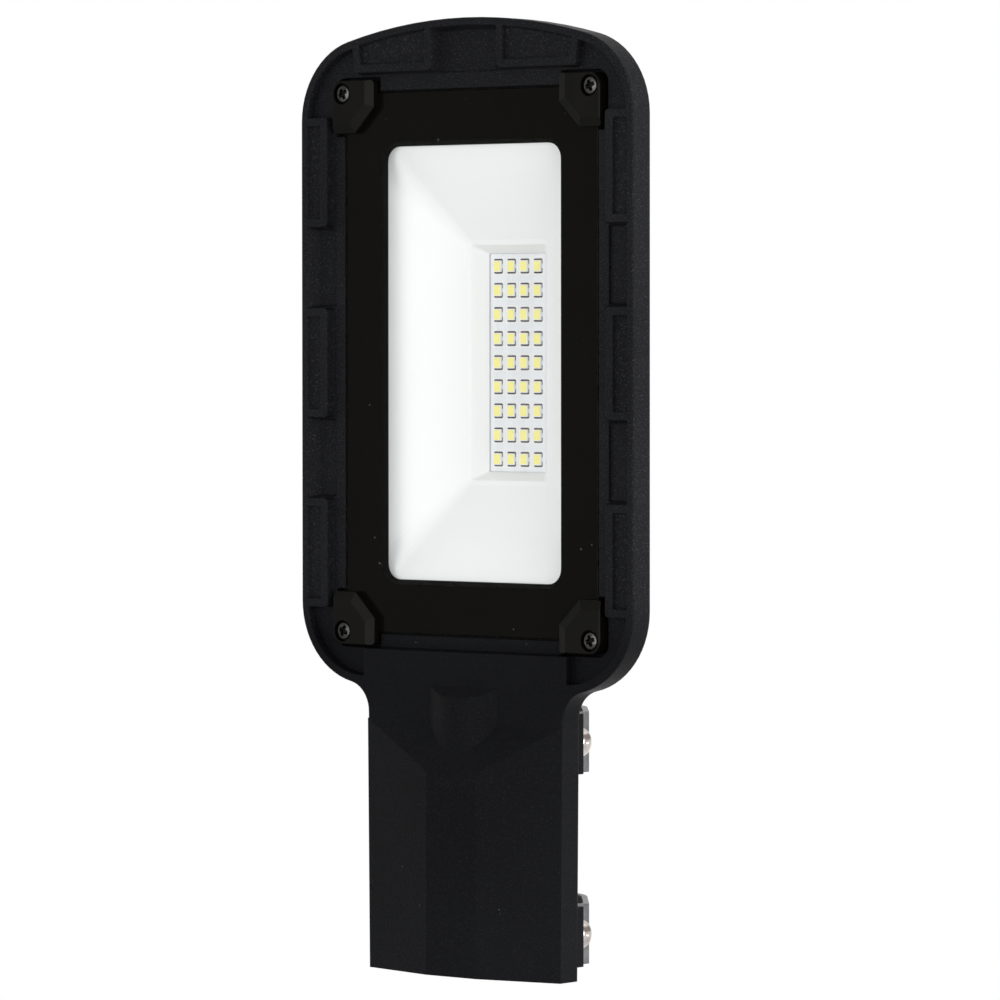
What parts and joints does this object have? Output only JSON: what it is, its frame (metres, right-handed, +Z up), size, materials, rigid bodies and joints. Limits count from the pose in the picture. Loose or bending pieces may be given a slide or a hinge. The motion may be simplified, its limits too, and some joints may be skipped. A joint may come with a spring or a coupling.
{
  "type": "LED street light head",
  "caption": "Slim black LED street light head with a flat glass front and a strap-clamped socket for a pipe arm.",
  "frame": {"origin": "on the axis of the pipe socket, at its open mouth", "axes": "+Y along the pipe axis towards the tip of the head, +Z up in use, light leaves towards -Z"},
  "size_m": [0.115, 0.2553, 0.0452],
  "materials": {
    "housing_paint": "textured matt powder coat",
    "clear_glass": "clear",
    "seal_rubber": "matt",
    "clamp_plastic": "satin",
    "screw_steel": "satin",
    "dark_screw_steel": "satin",
    "strap_steel": "satin",
    "reflector_plastic": "satin",
    "board_white": "matt",
    "led_body": "matt",
    "led_phosphor": "satin",
    "solder_metal": "satin",
    "pad_grey": "matt",
    "connector_white": "satin",
    "board_green": "satin",
    "ferrite_dark": "matt",
    "can_sleeve": "satin",
    "chip_black": "matt",
    "varistor_blue": "satin",
    "terminal_green": "satin",
    "lead_red": "satin",
    "lead_black": "satin",
    "tag_brass": "satin",
    "gland_plastic": "satin"
  },
  "bodies": {
    "root": {"housing": "housing_paint", "glass_pane": "clear_glass", "glass_gasket": "seal_rubber", "corner_clamp_tip_left": "clamp_plastic", "corner_clamp_tip_right": "clamp_plastic", "corner_clamp_neck_left": "clamp_plastic", "corner_clamp_neck_right": "clamp_plastic", "clamp_screws": "dark_screw_steel", "reflector": "reflector_plastic", "led_board": "board_white", "thermal_pad": "pad_grey", "led_packages": "led_body", "led_phosphors": "led_phosphor", "led_contacts": "solder_metal", "led_connector": "connector_white", "led_board_screws": "screw_steel", "driver_board": "board_green", "driver_screws": "screw_steel", "driver_transformer": "ferrite_dark", "driver_capacitor": "can_sleeve", "driver_rectifier": "chip_black", "driver_varistor": "varistor_blue", "terminal_block": "terminal_green", "lead_negative": "lead_black", "lead_positive": "lead_red", "earth_tag": "tag_brass", "earth_screw": "screw_steel", "gland_body": "gland_plastic", "gland_nut": "gland_plastic", "gland_seal": "seal_rubber", "gland_lock_nut": "gland_plastic", "strap_mouth": "strap_steel", "strap_head": "strap_steel", "strap_screws": "screw_steel"}
  },
  "joints": []
}
